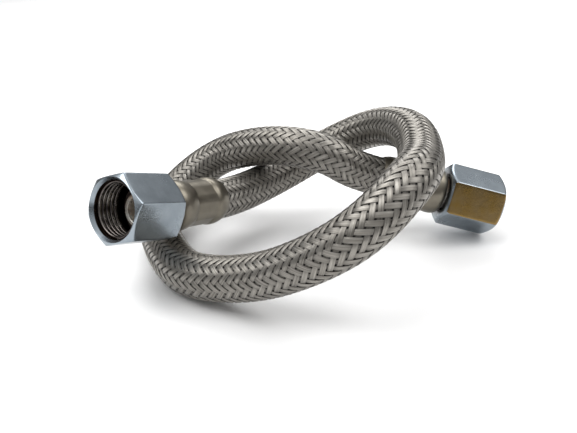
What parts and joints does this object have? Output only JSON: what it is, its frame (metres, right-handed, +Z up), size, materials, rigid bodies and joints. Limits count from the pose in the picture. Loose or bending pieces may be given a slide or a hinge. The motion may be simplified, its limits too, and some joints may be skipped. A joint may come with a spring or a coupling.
{
  "type": "braided flexible supply line",
  "caption": "Steel-braided rubber hose tied in a loose overhand knot, with a crimped ferrule and a female-threaded hexagon swivel nut at each end.",
  "frame": {"origin": "on the floor, under the middle of the knotted hose's bounding box", "axes": "+Z up, +X from the end with nut_a towards the end with nut_b, +Y away from the front strand of the knot"},
  "size_m": [0.1657, 0.1155, 0.0591],
  "materials": {
    "braid": "bright stainless wire in flat ribbons, woven two over two",
    "liner": "plain",
    "ferrule": "satin, pressed",
    "nipple": "thinly plated, brass showing through",
    "gasket": "plain",
    "slip_washer": "plain",
    "nut": "nickel plate, slightly mottled"
  },
  "bodies": {
    "hose": {"braid_sleeve": "braid", "inner_tube": "liner", "ferrule_a": "ferrule", "nipple_a": "nipple", "gasket_a": "gasket", "ferrule_b": "ferrule", "nipple_b": "nipple", "gasket_b": "gasket"},
    "slip_a": {"slip_washer_a": "slip_washer"},
    "nut_a": {"nut_a": "nut"},
    "slip_b": {"slip_washer_b": "slip_washer"},
    "nut_b": {"nut_b": "nut"}
  },
  "joints": [
    {"name": "nut_a_slide", "type": "slide", "parent": "hose", "child": "slip_a", "axis": [-0.5333, -0.8106, 0.2418], "range_m": [-0.0006, 0.00025]},
    {"name": "nut_a_spin", "type": "hinge", "parent": "slip_a", "child": "nut_a", "pos_m": [-0.06842, -0.02715, 0.03617], "axis": [-0.5212, -0.7923, 0.3172], "continuous": true},
    {"name": "nut_b_slide", "type": "slide", "parent": "hose", "child": "slip_b", "axis": [0.9622, 0, -0.2723], "range_m": [0, 0.0015]},
    {"name": "nut_b_spin", "type": "hinge", "parent": "slip_b", "child": "nut_b", "pos_m": [0.07439, 0.0242, 0.01508], "axis": [0.9622, 0, -0.2723], "continuous": true}
  ]
}
